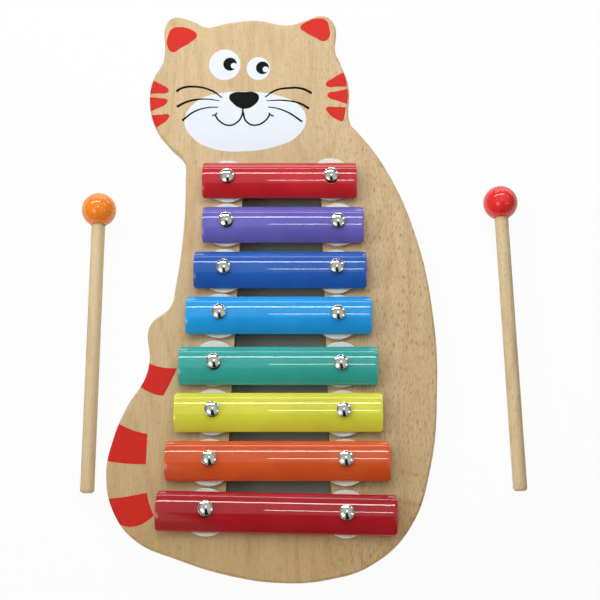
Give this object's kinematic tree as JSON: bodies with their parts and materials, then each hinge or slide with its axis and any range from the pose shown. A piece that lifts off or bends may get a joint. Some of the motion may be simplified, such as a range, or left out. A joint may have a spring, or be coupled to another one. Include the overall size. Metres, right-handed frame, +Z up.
{
  "type": "metallophone",
  "caption": "Toy metallophone: coloured arched steel tone bars held by dome nails over felt washers on a slotted cat-shaped beech board, with wooden ball mallets.",
  "frame": {"origin": "bottom centre of the whole set's bounding box, on the table that the board and mallets lie on", "axes": "+Y from the foot to the head of the board, +Z up off the board's face, +X to the right along the bars"},
  "size_m": [0.2932, 0.3868, 0.0231],
  "materials": {
    "beech": "satin clear coat on beech",
    "felt": "white wool felt",
    "chrome": "polished chrome plate",
    "stick": "bare sanded dowel",
    "ball_left": "gloss orange paint",
    "ball_right": "gloss red paint",
    "bar_crimson": "gloss enamel on steel",
    "bar_violet": "gloss enamel on steel",
    "bar_dark_blue": "gloss enamel on steel",
    "bar_light_blue": "gloss enamel on steel",
    "bar_teal": "gloss enamel on steel",
    "bar_yellow": "gloss enamel on steel",
    "bar_orange": "gloss enamel on steel",
    "bar_red": "gloss enamel on steel"
  },
  "bodies": {
    "board": {"board": "beech", "felt_washer_1_left": "felt", "dome_nail_1_left": "chrome", "felt_washer_1_right": "felt", "dome_nail_1_right": "chrome", "felt_washer_2_left": "felt", "dome_nail_2_left": "chrome", "felt_washer_2_right": "felt", "dome_nail_2_right": "chrome", "felt_washer_3_left": "felt", "dome_nail_3_left": "chrome", "felt_washer_3_right": "felt", "dome_nail_3_right": "chrome", "felt_washer_4_left": "felt", "dome_nail_4_left": "chrome", "felt_washer_4_right": "felt", "dome_nail_4_right": "chrome", "felt_washer_5_left": "felt", "dome_nail_5_left": "chrome", "felt_washer_5_right": "felt", "dome_nail_5_right": "chrome", "felt_washer_6_left": "felt", "dome_nail_6_left": "chrome", "felt_washer_6_right": "felt", "dome_nail_6_right": "chrome", "felt_washer_7_left": "felt", "dome_nail_7_left": "chrome", "felt_washer_7_right": "felt", "dome_nail_7_right": "chrome", "felt_washer_8_left": "felt", "dome_nail_8_left": "chrome", "felt_washer_8_right": "felt", "dome_nail_8_right": "chrome"},
    "tone_bar_1": {"tone_bar_1": "bar_crimson"},
    "tone_bar_2": {"tone_bar_2": "bar_violet"},
    "tone_bar_3": {"tone_bar_3": "bar_dark_blue"},
    "tone_bar_4": {"tone_bar_4": "bar_light_blue"},
    "tone_bar_5": {"tone_bar_5": "bar_teal"},
    "tone_bar_6": {"tone_bar_6": "bar_yellow"},
    "tone_bar_7": {"tone_bar_7": "bar_orange"},
    "tone_bar_8": {"tone_bar_8": "bar_red"},
    "mallet_left": {"mallet_stick_left": "stick", "mallet_ball_left": "ball_left"},
    "mallet_right": {"mallet_stick_right": "stick", "mallet_ball_right": "ball_right"}
  },
  "joints": [
    {"name": "tone_bar_1_float", "type": "slide", "parent": "board", "child": "tone_bar_1", "axis": [0, 0, 1], "range_m": [0, 0.0008]},
    {"name": "tone_bar_2_float", "type": "slide", "parent": "board", "child": "tone_bar_2", "axis": [0, 0, 1], "range_m": [0, 0.0008]},
    {"name": "tone_bar_3_float", "type": "slide", "parent": "board", "child": "tone_bar_3", "axis": [0, 0, 1], "range_m": [0, 0.0008]},
    {"name": "tone_bar_4_float", "type": "slide", "parent": "board", "child": "tone_bar_4", "axis": [0, 0, 1], "range_m": [0, 0.0008]},
    {"name": "tone_bar_5_float", "type": "slide", "parent": "board", "child": "tone_bar_5", "axis": [0, 0, 1], "range_m": [0, 0.0008]},
    {"name": "tone_bar_6_float", "type": "slide", "parent": "board", "child": "tone_bar_6", "axis": [0, 0, 1], "range_m": [0, 0.0008]},
    {"name": "tone_bar_7_float", "type": "slide", "parent": "board", "child": "tone_bar_7", "axis": [0, 0, 1], "range_m": [0, 0.0008]},
    {"name": "tone_bar_8_float", "type": "slide", "parent": "board", "child": "tone_bar_8", "axis": [0, 0, 1], "range_m": [0, 0.0008]},
    {"name": "mallet_left_lift", "type": "slide", "parent": "board", "child": "mallet_left", "axis": [0, 0, 1], "range_m": [0, 0.12]},
    {"name": "mallet_right_lift", "type": "slide", "parent": "board", "child": "mallet_right", "axis": [0, 0, 1], "range_m": [0, 0.12]}
  ]
}
